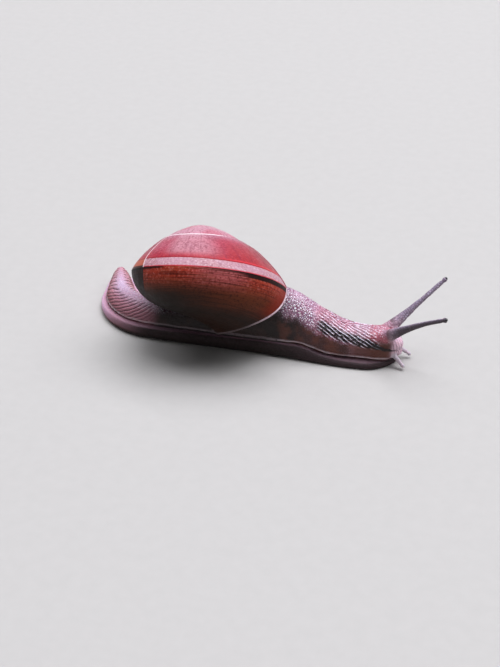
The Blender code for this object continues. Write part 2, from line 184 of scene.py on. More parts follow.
def hashed(cells, salt):
    # a repeatable number from 0 to 1 for each whole-number cell, stirred by large odd numbers
    mixed = cells.astype(np.int64) @ np.array([374761393, 668265263, 2147483647])[: cells.shape[1]]
    mixed = (mixed + salt * 1442695041) & 0xFFFFFFFF
    mixed = ((mixed ^ (mixed >> 15)) * 2246822519) & 0xFFFFFFFF
    mixed = ((mixed ^ (mixed >> 13)) * 3266489917) & 0xFFFFFFFF
    return ((mixed ^ (mixed >> 16)) & 0xFFFFFF) / float(0xFFFFFF)


def cloud(places, salt):
    # smooth noise from -1 to 1: corner numbers of each unit cell, blended across it
    base = np.floor(places)
    part = places - base
    part = part * part * (3 - 2 * part)
    total = np.zeros(len(places))
    for corner in np.ndindex(*(2,) * places.shape[1]):
        corner = np.array(corner)
        weight = np.prod(np.where(corner, part, 1 - part), axis=1)
        total += weight * hashed(base + corner, salt)
    return total * 2 - 1


def clouds(salt, *places):
    # the same noise over places given as separate rows of numbers
    return cloud(pack(*places), salt)


def cells(places, salt):
    # distances to the nearest and second nearest of points scattered one to a unit cell
    base = np.floor(places)
    near = np.full(len(places), 9.0)
    second = np.full(len(places), 9.0)
    for step in np.ndindex(*(3,) * places.shape[1]):
        cell = base + np.array(step) - 1
        spot = np.stack([hashed(cell, salt + k) for k in range(places.shape[1])], 1)
        gap = np.linalg.norm(cell + 0.15 + 0.7 * spot - places, axis=1)
        second = np.minimum(second, np.maximum(near, gap))
        near = np.minimum(near, gap)
    return near, second


shell = {
    "apex": (-3.8, 6.6, 30.5),
    "lean": 41.0,  # of the axis from upright
    "bearing": 106.0,  # the way it leans, in plan
    "lipHeading": 1.0,
    "whorls": 4.6,
    "expansion": 1.49,
    "lipRadius": 23.6,
    "lipDrop": 18.5,
    "dropPower": 1.6,
    "baseDepth": 12.1,
    "baseReach": 0.255,
    "shoulderRound": 1.25,
    "baseRound": 2.1,
    "sutureAngle": 51.5,
    "navelRise": 5.5,
    "keelSweep": -3.5,  # how far the keel lags behind the suture along a growth line
    "baseSweep": 24.5,  # the same for the underside
    "columnsPerTurn": 250,
    "rows": (30, 28, 56, 20),  # down to the suture, the keel, the lowest line and the axis
    "scarTurn": 0.363,  # turns back from the lip to the old lip's scar
    "scarRise": 0.10,
    "sutureDip": 0.08,
    "sutureWidth": 0.32,
    "growthRipple": 0.045,
    "mouthCentre": (14.5, -18.0),  # radius and height in the plane of the mouth
    "wall": 0.75,  # thickness at the lip
    # the wall's rings: forward, share of the thickness inward, degrees back along the spiral
    "wallRings": ((0.22, 0.10, 0), (0.30, 0.38, 0), (0.18, 0.72, 0), (-0.10, 0.95, 0),
                  (0, 1, 2.0), (0, 1, 5), (0, 1, 10), (0, 1, 18), (0, 1, 28)),
}


def whorlSize(turn):
    # share of the size at the lip after so many turns: exponential growth that starts from nothing
    grown = shell["expansion"] ** np.maximum(turn, 0) - 1
    return grown / (shell["expansion"] ** shell["whorls"] - 1)


def keelAt(turn):
    # radius and height of the widest line
    size = whorlSize(turn)
    return pack(shell["lipRadius"] * size, -shell["lipDrop"] * size ** shell["dropPower"])


def superArc(start, end, lean, power):
    # a quarter of a superellipse from start, where it runs level, to end, where it runs upright
    out = np.maximum(np.sin(lean), 0) ** (2 / power)
    up = np.maximum(np.cos(lean), 0) ** (2 / power)
    return pack(start[:, 0] + (end[:, 0] - start[:, 0]) * out,
                end[:, 1] + (start[:, 1] - end[:, 1]) * up)


def sutureAt(turn):
    # where a whorl joins the one before it: on that whorl's shoulder, at the suture angle
    if np.max(turn) <= 1:
        return np.zeros((len(turn), 2))
    lean = np.full(len(turn), radians(shell["sutureAngle"]))
    made = superArc(sutureAt(turn - 1), keelAt(turn - 1), lean, shell["shoulderRound"])
    return made * (turn > 1)[:, None]


def whorlSection(turn, row):
    # radius and height of a growth line: row 0 the suture, 1 the keel, 2 lowest, 3 on the axis
    size, keel, suture = whorlSize(turn), keelAt(turn), sutureAt(turn)
    shoulder = superArc(suture, keel, np.clip(row, 0, 1) * quarter, shell["shoulderRound"])
    low = pack(keel[:, 0] * shell["baseReach"], keel[:, 1] - shell["baseDepth"] * size)
    base = superArc(low, keel, (1 - np.clip(row - 1, 0, 1)) * quarter, shell["baseRound"])
    share = np.clip(row - 2, 0, 1)
    rise = shell["navelRise"] * size * np.sin(share * quarter) ** 2
    hollow = pack(low[:, 0] * (1 - share), low[:, 1] + rise)
    row = row[:, None]
    return np.where(row <= 1, shoulder, np.where(row <= 2, base, hollow))


def lagAt(row):
    # angle by which a growth line lags: it bends at the keel and runs back under it
    above = np.clip((1 - row) / (1 - shell["sutureAngle"] / 90), 0, 1)
    under = np.sin(np.clip(row - 1, 0, 1) * quarter) ** 2
    keel, base = radians(shell["keelSweep"]), radians(shell["baseSweep"])
    return np.where(row <= 1, keel * np.cos(above * quarter) ** 2, keel + (base - keel) * under)


def shellAxes():
    # the shell's own axes as rows: towards the lip, onward, and up the spire
    lean, bearing = radians(shell["lean"]), radians(shell["bearing"])
    axis = np.array([sin(lean) * cos(bearing), sin(lean) * sin(bearing), cos(lean)])
    heading = radians(shell["lipHeading"])
    lip = np.array([cos(heading), sin(heading), 0.0])
    lip = unit(lip - axis * (lip @ axis))
    return np.stack([lip, np.cross(axis, lip), axis])


def shellPlace(turn, flat, lag=0.0, forward=0.0):
    # swings a section point round the axis to its turn, less the lag, and moves it forward
    angle = 2 * pi * (turn - shell["whorls"]) - lag
    local = pack(flat[:, 0] * np.cos(angle) - forward * np.sin(angle),
                 flat[:, 0] * np.sin(angle) + forward * np.cos(angle), flat[:, 1])
    return np.array(shell["apex"]) + local @ shellAxes()


def shellRelief(turn, row):
    # height over the plain section: growth ripples, the old lip's scar and the suture's groove
    size, whorls = whorlSize(turn), shell["whorls"]
    ripple = clouds(3, turn * 44, row * 1.5) + 0.7 * clouds(4, turn * 95, row * 2.5)
    lift = ripple * shell["growthRipple"] * np.clip(size * 1.6, 0.1, 1) * smooth(2.6, 2.0, row)
    lift += shell["scarRise"] * bump(whorls - shell["scarTurn"], 0.003, turn) * smooth(1.5, 1, row)
    width = np.linalg.norm(keelAt(turn) - sutureAt(turn), axis=1) + 0.01
    slim = shell["sutureWidth"] * np.clip(size * 2.2, 0.3, 1) / width
    seam = bump(shell["sutureAngle"] / 90, slim, row) * smooth(whorls - 1, whorls - 1.03, turn)
    dip = (bump(0, slim, row) + seam) * smooth(whorls, whorls - 0.03, turn)
    return lift - shell["sutureDip"] * dip * np.clip(size * 2, 0, 1)


def makeShell():
    # the upper strip of every whorl, the underside of the last one and the mouth's inner wall
    perTurn, whorls = shell["columnsPerTurn"], shell["whorls"]
    total = round(whorls * perTurn)
    stops = (0, shell["sutureAngle"] / 90, 1, 2, 3)
    upper, *parts = (np.linspace(*part) for part in zip(stops, stops[1:], shell["rows"]))
    lower = join(*(part[1:] for part in parts))
    turns = whorls - np.arange(total, -1, -1) / perTurn
    last = turns[-perTurn - 1:]

    up = np.zeros((total + 1, len(upper)), int)  # a whorl's first row is the one before's last
    up[1:, 1:] = 1 + np.arange(total * (len(upper) - 1)).reshape(total, -1)
    up[perTurn:, 0] = up[:total + 1 - perTurn, -1]
    down = up.max() + 1 + np.arange(len(last) * len(lower)).reshape(len(last), -1)
    count = down.max() + 1
    down = join(up[-perTurn - 1:, -1:], down, axis=1)

    turn = join(turns[:1], np.repeat(turns[1:], len(upper) - 1), np.repeat(last, len(lower)))
    row = join([0.0], np.tile(upper[1:], total), np.tile(lower, len(last)))
    normal = turned(whorlSection(turn, row + 0.01) - whorlSection(turn, np.maximum(row - 0.01, 0)))
    flat = whorlSection(turn, row) + normal * shellRelief(turn, row)[:, None]
    points = [shellPlace(turn, flat, lagAt(row))]

    # the mouth's loop: round the lip, up the axis, back along the whorl before
    loop = join(up[-1], down[-1, 1:], down[-2:0:-1, -1], down[0, :0:-1])
    rimCount = len(upper) + len(lower)
    loopTurn = join(np.full(len(upper), whorls), turn[loop[len(upper):]])
    loopRow = join(upper, row[loop[len(upper):]])
    edge = np.zeros(len(loop))
    edge[:rimCount] = span(loopRow[:rimCount], 0, 0.14, 2.5, 2.95)
    rings, values = [loop], [pack(0, loopRow)]
    for forward, inset, back in shell["wallRings"]:
        rings.append(count + np.arange(len(loop)))
        count += len(loop)
        section = whorlSection(loopTurn - back / 360, loopRow)
        inward = unit(np.array(shell["mouthCentre"]) * whorlSize(whorls - back / 360) - section)
        section += inward * (shell["wall"] * inset * np.maximum(edge, 0.12))[:, None]
        points.append(shellPlace(whorls - back / 360, section, lagAt(loopRow), forward * edge))
        values.append(pack(-0.02 - back / 360, loopRow))
    points.append(points[-1].mean(0, keepdims=True))
    wall = wrapped(np.stack(rings))

    faces, charts = [], []
    for index, placed in (
        (up, pack((whorls - turns)[:, None], upper)),
        (down, pack((whorls - last)[:, None], [stops[1], *lower])),
        (wall, wrapped(np.stack(values))),
    ):
        some, placed = gridFaces(index, placed)
        faces += some
        charts += placed
    faces += pack(wall[-1, :-1], wall[-1, 1:], count).tolist()
    charts = join(*charts, np.tile([-0.1, 1.5], (3 * len(loop), 1)))

    # charts in millimetres: from the suture, from the keel (below it negative), and back from the
    # scar along the spiral; the first two are stretched on small whorls, whose lines are finer
    back, row = charts.T
    turn = whorls - np.maximum(back, 0)
    section, size = whorlSection(turn, row), whorlSize(turn)
    fromSuture = np.linalg.norm(section - sutureAt(turn), axis=1) / np.clip(size * 2, 0.2, 1)
    fromKeel = np.linalg.norm(section - keelAt(turn), axis=1) / np.clip(size * 1.12, 0.1, 1)
    fromKeel *= np.where(row <= 1, 1, -1)
    fromScar = (back - shell["scarTurn"]) * 2 * pi * section[:, 0]
    return newPiece("shellSkin", join(*points), faces, None, {
        "growth": charts, "reach": pack(fromSuture, fromKeel), "scar": pack(fromScar, size)})


shellPiece = makeShell()
print("shell:", len(shellPiece.data.polygons), "faces")

rim = {
    "out": 0.34, "forward": 0.46,  # half the bead's thickness, and half its width
    "set": -0.05, "lead": 0.22,  # its middle, out from the lip and ahead of it
    "ends": (0.1, 2.75),  # rows of the shell where it starts and ends
    "thins": (0, 0.10, 0.93, 1),  # shares of its length over which it thickens and thins again
    "stained": (1.35, 1.75), "blushed": (1.02, 0.90),  # rows over which a colour sets in
    "rings": 260, "sides": 14,
}


def makeRim():
    # a rolled bead along the lip: an oval carried along the mouth's edge, thin at both ends
    count, sides = rim["rings"], rim["sides"]
    row = np.linspace(*rim["ends"], count)
    slim = np.sqrt(np.clip(span(np.linspace(0, 1, count), *rim["thins"]), 0.002, 1))[:, None]
    flat = whorlSection(np.full(count, shell["whorls"]), row)
    normal = turned(np.gradient(flat, axis=0))
    out = (rim["out"] * np.cos(circle(sides)) + rim["set"]) * slim
    forward = rim["forward"] * np.sin(circle(sides)) * slim + rim["lead"]
    spread = flat[:, None, :] + normal[:, None, :] * out[:, :, None]
    row = np.repeat(row, sides)
    points = shellPlace(shell["whorls"], spread.reshape(-1, 2), lagAt(row), forward.ravel())
    index = wrapped(np.arange(count * sides).reshape(count, sides))
    faces = bareFaces(index) + [index[0, :-1][::-1].tolist(), index[-1, :-1].tolist()]
    return newPiece("lipBead", points, [face[::-1] for face in faces],
                    {name: smooth(*rim[name], row) for name in ("stained", "blushed")})


rimPiece = makeRim()
print("rim:", len(rimPiece.data.polygons), "faces")

feelers = {
    "upper": {"root": (50.5, 1.9, 8.0), "radii": (2.1, 0.60, 0.70), "bows": (0.0, 0.035),
              "tips": ((64.6, 11.0, 21.6), (67.6, -9.0, 20.9))},
    "lower": {"root": (51.8, 1.9, 4.3), "radii": (1.0, 0.52, 0.56), "bows": (0.035, 0.035),
              "tips": ((57.5, 2.2, 0.95), (56.7, -4.2, 0.85))},
    "reach": {"upper": 2.7, "lower": 1.4},  # how far from a feeler's line its skin still counts
    "start": -0.06, "taper": 2.9,  # share of the length inside the head, and power of the narrowing
}
lips = {"centre": (53.7, 0.0, 3.1), "size": (1.7, 1.75, 1.1)}


def curveThrough(table, distance):
    # the table's columns at a distance, on a smooth curve through its rows
    table = np.array(table, float)
    knots, values = table[:, 0], table[:, 1:]
    slopes = np.gradient(values, knots, axis=0)
    i = np.clip(np.searchsorted(knots, distance) - 1, 0, len(knots) - 2)
    step = (knots[i + 1] - knots[i])[:, None]
    t = np.clip((distance - knots[i])[:, None] / step, 0, 1)
    return ((2 * t**3 - 3 * t**2 + 1) * values[i] + (t**3 - 2 * t**2 + t) * step * slopes[i]
            + (3 * t**2 - 2 * t**3) * values[i + 1] + (t**3 - t**2) * step * slopes[i + 1]).T


def bodyPlace(distance, side, height):
    # the middle line is straight under the shell and head and an arc, then straight, at the tail
    turn = np.clip((bodyStart - distance) / body["tailBend"], 0, bendAngle)
    ahead = np.maximum(0, distance - bodyStart)
    beyond = np.maximum(0, body["tailEnd"] - distance)
    x = body["bendX"] + ahead - body["tailBend"] * np.sin(turn) - beyond * np.cos(turn)
    y = body["tailBend"] * (1 - np.cos(turn)) + beyond * np.sin(turn)
    return pack(x + side * np.sin(turn), y + side * np.cos(turn), height)


def bodyCoordinates(points):
    # the reverse: distance along the middle line and side from it
    x, y = points[:, 0] - body["bendX"], points[:, 1] - body["tailBend"]
    fromEnd = points - bodyPlace(np.array([body["tailEnd"]]), 0, np.zeros(1))[0]
    past = fromEnd[:, 1] * sin(bendAngle) - fromEnd[:, 0] * cos(bendAngle)
    across = fromEnd[:, 0] * sin(bendAngle) + fromEnd[:, 1] * cos(bendAngle)
    bent = np.where(past > 0, body["tailEnd"] - past,
                    bodyStart - np.arctan2(-x, -y) * body["tailBend"])
    side = np.where(past > 0, across, body["tailBend"] - np.hypot(x, y))
    return np.where(x > 0, bodyStart + x, bent), np.where(x > 0, points[:, 1], side)


def eased(distance, reach):
    # 1 away from an end, falling to 0 at it as a quarter ellipse does
    return np.sqrt(1 - np.clip(1 - distance / reach, 0, 1) ** 2)


def bunched(start, end, rounds):
    # distances that crowd towards both rounded ends
    lean = np.linspace(0, quarter, 14)
    first, last = start + rounds[0], end - rounds[1]
    middle = np.linspace(first, last, round((last - first) / body["ringStep"]))
    return join(first - rounds[0] * np.cos(lean[:-1]), middle,
                last + rounds[1] * np.cos(lean[-2::-1]))


def closedLoft(rings):
    # faces round and along rings of equal count, with a fan at each end; points and faces
    along, around = rings.shape[:2]
    index = wrapped(np.arange(along * around).reshape(along, around))
    first = pack(index[0, 1:], index[0, :-1], along * around)
    last = pack(index[-1, :-1], index[-1, 1:], along * around + 1)
    points = join(rings.reshape(-1, 3), rings[[0, -1]].mean(1))
    return points, bareFaces(index) + first.tolist() + last.tolist()


def footLoft():
    # a flat sole with a rolled margin: half an ellipse on each side between sole and groove
    length, rounds = body["footLength"], body["footRound"]
    distance = bunched(0, length, rounds)
    margin = curveThrough(body["sections"], distance)[0]
    margin = margin * eased(distance, rounds[0]) * eased(length - distance, rounds[1])
    tuck = np.minimum(body["marginTuck"], 0.4 * margin)
    top = curveThrough(body["grooveLine"], distance)[0] - 0.1
    lean = np.linspace(-quarter, quarter, body["around"]["foot"])
    side = (margin - tuck)[:, None] + tuck[:, None] * np.cos(lean)
    height = top[:, None] * (0.5 + 0.5 * np.sin(lean))
    side, height = join(side, -side[:, ::-1], axis=1), join(height, height[:, ::-1], axis=1)
    return closedLoft(bodyPlace(distance[:, None], side, height))


def fleshLoft():
    # above the groove a superellipse, drawn in just over the foot; whole and round at the snout
    (start, end), rounds = body["fleshEnds"], body["fleshRound"]
    distance = bunched(start, end, rounds)[:, None]
    _, width, bottom, top, crown = curveThrough(body["sections"], distance[:, 0])[:, :, None]
    front = eased(end - distance, rounds[1])
    ends = eased(distance - start, rounds[0]) * front
    middle = bottom + (1 - front) * (body["snoutHeight"] - bottom)
    rise = (top - middle) * np.where(distance > bodyStart, ends, ends ** 0.5)
    fall = np.maximum((middle - bottom) * ends, 1.3 * ends)
    lean = circle(body["around"]["flesh"])
    level, upright = np.cos(lean), np.sin(lean)
    above, power = upright >= 0, 2 / crown
    side = np.sign(level) * np.where(above, np.abs(level) ** power, np.abs(level)) * width * ends
    lift = np.where(above, rise * np.abs(upright) ** power, -fall * np.abs(upright))
    height = middle + 0.15 + lift
    waist = curveThrough(body["grooveLine"], distance[:, 0])[0][:, None] + 0.25
    drawn = body["pinch"] * bump(waist, 0.7, height) * (1 - (1 - front) ** 2)
    return closedLoft(bodyPlace(distance, side * (1 - drawn), height))


def mantleLoft():
    # the mouth's outline drawn in about a centre, rising out of the mouth as a dome
    centre = np.array(shell["mouthCentre"])
    count = body["around"]["mantle"]
    whole = np.full(160, shell["whorls"])
    outer = whorlSection(whole, np.linspace(0, 2, 160))
    inner = whorlSection(whole - 1, np.linspace(2, shell["sutureAngle"] / 90, 160))
    ray = join(outer, inner) - centre
    angle = np.arctan2(ray[:, 1], ray[:, 0])
    order = np.argsort(angle)
    around = circle(count) - pi
    reach = np.interp(around, angle[order], np.linalg.norm(ray, axis=1)[order], period=2 * pi)
    reach = np.maximum(0.5, reach - body["mantleInset"])
    lean = np.linspace(0, quarter, 22)
    size = join([0.88, 0.94, 1.0], np.maximum(0.04, np.cos(lean) ** 0.8))
    forward = join(body["mantleDepth"] * np.array([-1, -0.67, -0.33]),
                   body["mantleBulge"] * np.sin(lean))
    flat = (size[:, None] * reach)[:, :, None] * pack(np.cos(around), np.sin(around))
    rings = shellPlace(shell["whorls"], (centre + flat).reshape(-1, 2), 0.0,
                       np.repeat(forward, count))
    return closedLoft(rings.reshape(-1, count, 3)[::-1])


def feelerLine(kind, which, share):
    # a line from the head to the tip, bowed a little upwards
    root = np.array(feelers[kind]["root"])
    root[1] *= 1 if which == 0 else -1
    tip = np.array(feelers[kind]["tips"][which])
    length = np.linalg.norm(tip - root)
    bow = np.array([0, 0, feelers[kind]["bows"][which] * length])
    share = np.asarray(share)[..., None]
    return root + (tip - root) * share + bow * np.sin(pi * np.clip(share, 0, 1)), length


def ringsAbout(line, radius, count):
    # rings across a line of points, with a radius for each point
    ahead = unit(line[-1] - line[0])
    first = unit(np.cross(ahead, [0, 0, 1]))
    around = circle(count)[None, :, None]
    return line[:, None] + radius[:, None, None] * (
        first * np.cos(around) + np.cross(ahead, first) * np.sin(around))


def feelerLoft(kind, which):
    # a cone that narrows fast, then slowly, and ends in a rounded knob
    thick, neck, knob = feelers[kind]["radii"]
    share = join(np.linspace(feelers["start"], 0.9, 40),
                 1 - 0.1 * np.cos(np.linspace(0.1, 1.5, 16)))
    line, length = feelerLine(kind, which, share)
    slim = neck + (thick - neck) * np.clip(1 - share, 0, 1) ** feelers["taper"]
    toKnob = (1 - share) * length / (2 * knob)
    swell = knob * np.sqrt(np.clip(1 - (2 * toKnob - 1) ** 2, 0.01, 1))
    blended = smooth(1.35, 0.6, toKnob)
    return closedLoft(ringsAbout(line, slim * (1 - blended) + swell * blended,
                                 body["around"]["feeler"]))


def lipsLoft():
    # an oval cushion under the snout
    lean, around = np.linspace(0.05, pi - 0.05, 24)[:, None], circle(body["around"]["lips"])
    ball = pack(-np.cos(lean), np.sin(lean) * np.cos(around), np.sin(lean) * np.sin(around))
    return closedLoft(np.array(lips["centre"]) + ball * np.array(lips["size"]))


def summed(index, values, count):
    # values in three columns, added up where their index is the same
    return pack(*(np.bincount(index, column, count) for column in values.T))


def relax(points, edges, steps):
    # each vertex towards the mean of its neighbours, then out again so that nothing shrinks
    ends, others = edges.ravel(), edges[:, ::-1].ravel()
    count = np.bincount(ends)[:, None]
    for step in steps:
        mean = summed(ends, points[others], len(points)) / count
        points = points + (mean - points) * step
    return points


def normalsOf(points, quads):
    # the mean of the normals of the faces about each vertex
    a, b, c, d = (points[quads[:, k]] for k in range(4))
    normal = np.cross(c - a, d - b)
    return unit(sum(summed(quads[:, k], normal, len(points)) for k in range(4)))


def readOut(items, field, width, kind=float):
    # a field of a mesh's vertices, edges or loops as an array
    values = np.zeros(len(items) * width, kind)
    items.foreach_get(field, values)
    return values.reshape(-1, width)


def makeSkin():
    # every loft fused by a voxel cover, its outermost sheet alone kept, then evened out
    lofts = [footLoft(), fleshLoft(), mantleLoft(), lipsLoft()]
    lofts += [feelerLoft(kind, which) for kind in ("upper", "lower") for which in (0, 1)]
    points, faces, count = [], [], 0
    for some, joined in lofts:
        points.append(some)
        faces += [[i + count for i in face] for face in joined]
        count += len(some)
    rough = newPiece("roughSkin", join(*points), faces)
    cover = rough.modifiers.new("cover", "REMESH")
    cover.mode = "VOXEL"
    cover.voxel_size = body["voxel"] * mm
    graph = bpy.context.evaluated_depsgraph_get()
    mesh = bpy.data.meshes.new_from_object(rough.evaluated_get(graph))
    bpy.data.objects.remove(rough)
    points = readOut(mesh.vertices, "co", 3) / mm + origin
    edges = readOut(mesh.edges, "vertices", 2, int)
    quads = readOut(mesh.loops, "vertex_index", 1, int).reshape(-1, 4)

    # only the outer surface: each vertex takes the least number it can reach, step by step
    reach, before = np.arange(len(points)), None
    while before is None or (reach != before).any():
        least = np.minimum(reach[edges[:, 0]], reach[edges[:, 1]])
        before = reach.copy()
        np.minimum.at(reach, edges[:, 0], least)
        np.minimum.at(reach, edges[:, 1], least)
        reach = reach[reach]
    kept = reach == np.bincount(reach).argmax()
    renumbered = np.cumsum(kept) - 1
    edges = renumbered[edges[kept[edges[:, 0]]]]
    return relax(points[kept], edges, body["relax"]), renumbered[quads[kept[quads[:, 0]]]]


skinPoints, skinQuads = makeSkin()
print("skin fused:", len(skinPoints), "points")

relief = {
    "grainSize": 0.80,  # across one tubercle of the neck
    "grainHeight": 0.15,
    "furrowStep": 1.9,  # between the slanting furrows of the dark stripe
    "furrowSlant": 1.8,  # how far they run forward for each millimetre down
    "furrowDepth": 0.15,
    "tailStep": 1.35,  # between the tail's furrows, at the fringe
    "tailFan": 8.0,  # how much further back they start on the crest
    "tailDepth": 0.30,
    "creaseStep": 0.9,  # between the fringe's upright creases
    "creaseDepth": 0.045,
    "snoutCentre": 50.0,
    "pleats": 17,  # half waves round the snout's centre, for each radian
    "pleatDepth": 0.10,
    "slitDepth": 0.45,  # of the mouth's slit, and of the fold over the lips
    "lipFold": 0.32,
    "lipFoldHeight": 4.25,
    "soleHeight": 0.12,  # what lies lower is pressed flat
    "ridge": 0.26,  # how far the line above the groove stands out
    "ridgeRise": 0.78,  # and how high it runs over the groove
    "groove": 0.30,
    # distances from the tail tip between which a part sets in
    "tail": (36, 29), "nose": (100.0, 103.0), "fringeEnd": (103.2, 101.5),
    # and between which it sets in and fades again
    "slantedGrain": (79, 85, 97, 102), "stripeSpan": (78.8, 82.0, 101.0, 103.4),
    "underShell": (24, 34, 66, 74),
    # the dark stripe: distance from the tail tip, height, half width
    "stripe": ((79.2, 10.2, 0.6), (81.2, 10.2, 1.45), (84.3, 9.2, 1.4), (88.0, 8.0, 1.3),
               (90.5, 7.4, 1.15), (93, 6.9, 1.1), (95.7, 6.7, 1.0), (99.3, 5.6, 0.5),
               (103.6, 4.8, 0.2)),
}


def feelerShares(points):
    # for each feeler: share along it, nearness to its line, whether it is a lower one, and the way
    # out from the head's middle
    found = []
    for kind, which in (("upper", 0), ("upper", 1), ("lower", 0), ("lower", 1)):
        root, tip, other = (feelerLine(kind, one, end)[0]
                            for one, end in ((which, 0.0), (which, 1.0), (1 - which, 0.0)))
        share = (points - root) @ (tip - root) / ((tip - root) @ (tip - root))
        share = np.clip(share, -0.2, 1.1)
        gap = np.linalg.norm(points - feelerLine(kind, which, share)[0], axis=1)
        reach = feelers["reach"][kind]
        found.append((share, smooth(reach, reach * 0.55, gap), kind == "lower", unit(root - other)))
    return found


def sculptSkin(points, quads):
    # relief along the normals, in body coordinates, and the masks that the material reads
    distance, side = bodyCoordinates(points)
    height = points[:, 2]
    normal = normalsOf(points, quads)
    groove = curveThrough(body["grooveLine"], distance)[0]
    top = curveThrough(body["sections"], distance)[3]
    feeler, along, lowest, outer = np.zeros((4, len(points)))
    for share, near, lower, outward in feelerShares(points):
        stem = smooth(0.02, 0.24, share) * near
        feeler, lowest = np.maximum(feeler, stem), np.maximum(lowest, stem * lower)
        along = np.maximum(along, share * near * (not lower))
        # how far an upper feeler's skin faces out from the head's middle; the material darkens it
        # as painted shade
        outer = np.maximum(outer, smooth(-0.3, 0.6, normal @ outward) * near * (not lower))
    onBody = 1 - feeler
    sole = smooth(0.5, 0.15, height) * onBody
    nose = smooth(*relief["nose"], distance) * onBody
    tail = smooth(*relief["tail"], distance) * onBody
    flank = smooth(groove - 0.1, groove + 0.9, height)
    fringe = smooth(groove + 0.15, groove - 0.35, height) * onBody
    fringe *= smooth(*relief["fringeEnd"], distance)
    tall = np.clip((height - groove) / np.maximum(top - groove, 1), 0, 1)
    uneven = tall + 0.07 * cloud(points * 0.55, 22) + 0.04 * cloud(points * 1.3, 23)

    # groove and ridge all round, with a finer second line above
    line = height - groove + 0.10 * clouds(11, distance * 0.55, side * 0.2)
    sideways = smooth(0.75, 0.35, np.abs(normal[:, 2])) * onBody * (1 - nose)
    ridge = relief["ridge"] * (0.80 + 0.20 * clouds(12, distance * 0.7, side))
    ridge *= 1 - 0.55 * span(distance, *relief["underShell"])
    slim = 1 - 0.45 * smooth(60, 80, distance)
    lift = ridge * bump(relief["ridgeRise"], 0.27, line) - 0.10 * bump(1.35, 0.22, line)
    lift = sideways * (lift - relief["groove"] * slim * bump(0.12, 0.32 * slim, line))

    # tubercles: domes between scattered points, drawn out along the furrows towards the head
    around = 0.35 * top + 2.6
    girth = np.arctan2(height - 0.45 * top, -side) * around
    upward = np.minimum(girth, pi * around - girth)  # the same on both sides
    forward = span(distance, *relief["slantedGrain"])
    wander = 0.30 * cloud(points * 0.45, 21)
    grain = relief["grainSize"]
    slanted = distance + relief["furrowSlant"] * forward * upward
    near, second = cells(pack(slanted / (grain * (1 + 0.5 * forward)) + wander,
                              girth / (grain * (1 + 0.25 * forward)) + wander), 31)
    dome = smooth(0.02, 0.42, second - near)
    near, second = cells(points / (grain * 0.85), 41)
    domeRound = smooth(0.02, 0.40, second - near)
    onSheet = smooth(99, 96, distance) * onBody
    grains = dome * onSheet + domeRound * (1 - onSheet)
    strong = flank * (1 - tail) * onBody * (0.35 + 0.65 * smooth(0.3, 0.6, tall))
    lift += relief["grainHeight"] * (grains - 0.6) * strong * (1 - 0.45 * nose)
    lift += 0.06 * (domeRound - 0.6) * feeler

    # the dark stripe and its slanting furrows
    start, end = relief["stripeSpan"][0] - 0.3, body["fleshEnds"][1]
    middle, reach = curveThrough(relief["stripe"], np.clip(distance, start, end))
    off = (height - middle + 0.28 * cloud(points * 0.9, 51)) / np.maximum(reach, 0.05)
    onSide = span(distance, *relief["stripeSpan"]) * onBody
    stripe = smooth(1.15, 0.7, np.abs(off)) * onSide * smooth(0.99, 0.86, tall)
    slanting = distance + relief["furrowSlant"] * upward + 0.45 * cloud(points * 0.5, 52)
    wave = 0.5 + 0.5 * np.cos(2 * pi * slanting / relief["furrowStep"])
    broken = smooth(-0.75, -0.2, clouds(53, slanting * 0.6, height * 0.7))
    nearStripe = span(off, -1.3, -0.8, 1.4, 3.4) * onSide * smooth(99, 94, distance)
    lift += relief["furrowDepth"] * (wave ** 2.2 * broken - 0.45) * nearStripe * flank

    # the tail's furrows fan from the ridge back to the fringe
    fan = distance - smooth(2, 27, distance) * relief["tailFan"] * tall
    fan += 0.35 * cloud(points * 0.5, 61)
    folds = np.abs(np.sin(pi * fan / relief["tailStep"])) ** 0.7
    fades = smooth(0.3, 1.0, line) * (1 - 0.6 * smooth(0.90, 1.0, tall))
    crossFolds = clouds(62, fan * 0.9, height * 2.2 + distance * 0.4)
    lift += (relief["tailDepth"] * (folds - 0.6) + 0.08 * crossFolds) * tail * fades

    # fringe: upright creases, faint
    creases = np.sin(pi * (distance + 0.5 * cloud(points * 0.6, 71)) / relief["creaseStep"])
    lift += relief["creaseDepth"] * (np.abs(creases) - 0.6) * fringe * (1 - sole)

    # snout: fine upright folds round the front, the mouth's slit and the fold over the lips
    x, y = points[:, 0], np.abs(points[:, 1])
    swing = np.arctan2(points[:, 1], np.maximum(x - relief["snoutCentre"], 0.2))
    pleats = np.abs(np.sin(swing * relief["pleats"] + 0.8 * cloud(points * 0.8, 81)))
    lift += relief["pleatDepth"] * (pleats - 0.6) * nose * span(height, 2.2, 3.2, 7.2, 8.6)
    slit = bump(0, 0.28, y) * span(height, 1.9, 2.4, 3.9, 4.6) * smooth(53.3, 54.2, x)
    lipFold = bump(relief["lipFoldHeight"], 0.28, height) * smooth(3.1, 2.2, y)
    lipFold *= smooth(52.6, 53.8, x)
    lift -= (relief["slitDepth"] * slit + relief["lipFold"] * lipFold) * onBody

    lift += 0.05 * cloud(points * 0.8, 91) * (1 - fringe) + 0.025 * cloud(points * 1.9, 92)
    points = points + normal * (lift * (1 - sole))[:, None]
    points[:, 2] = np.where(points[:, 2] < relief["soleHeight"], 0, points[:, 2])
    # for the material: the ridge's line is painted as a highlight, and the groove's hollow and the
    # skin facing down as shade
    return points, {
        "distance": distance, "rise": height - groove, "slanting": slanting, "fringe": fringe,
        "tail": tail, "stripe": stripe, "feeler": feeler, "tall": uneven * onBody,
        "line": bump(relief["ridgeRise"], 0.25, line) * sideways, "lowest": lowest,
        "hollow": bump(0.16, 0.30 * slim, line) * sideways, "furrow": nearStripe, "along": along,
        "outer": outer, "folds": 1 - (1 - folds) * fades, "pleats": pleats,
        "under": smooth(0.2, -0.6, normal[:, 2]),
    }


skinPoints, skinMasks = sculptSkin(skinPoints, skinQuads)
skinPiece = newPiece("snailSkin", skinPoints, skinQuads.tolist(), skinMasks)


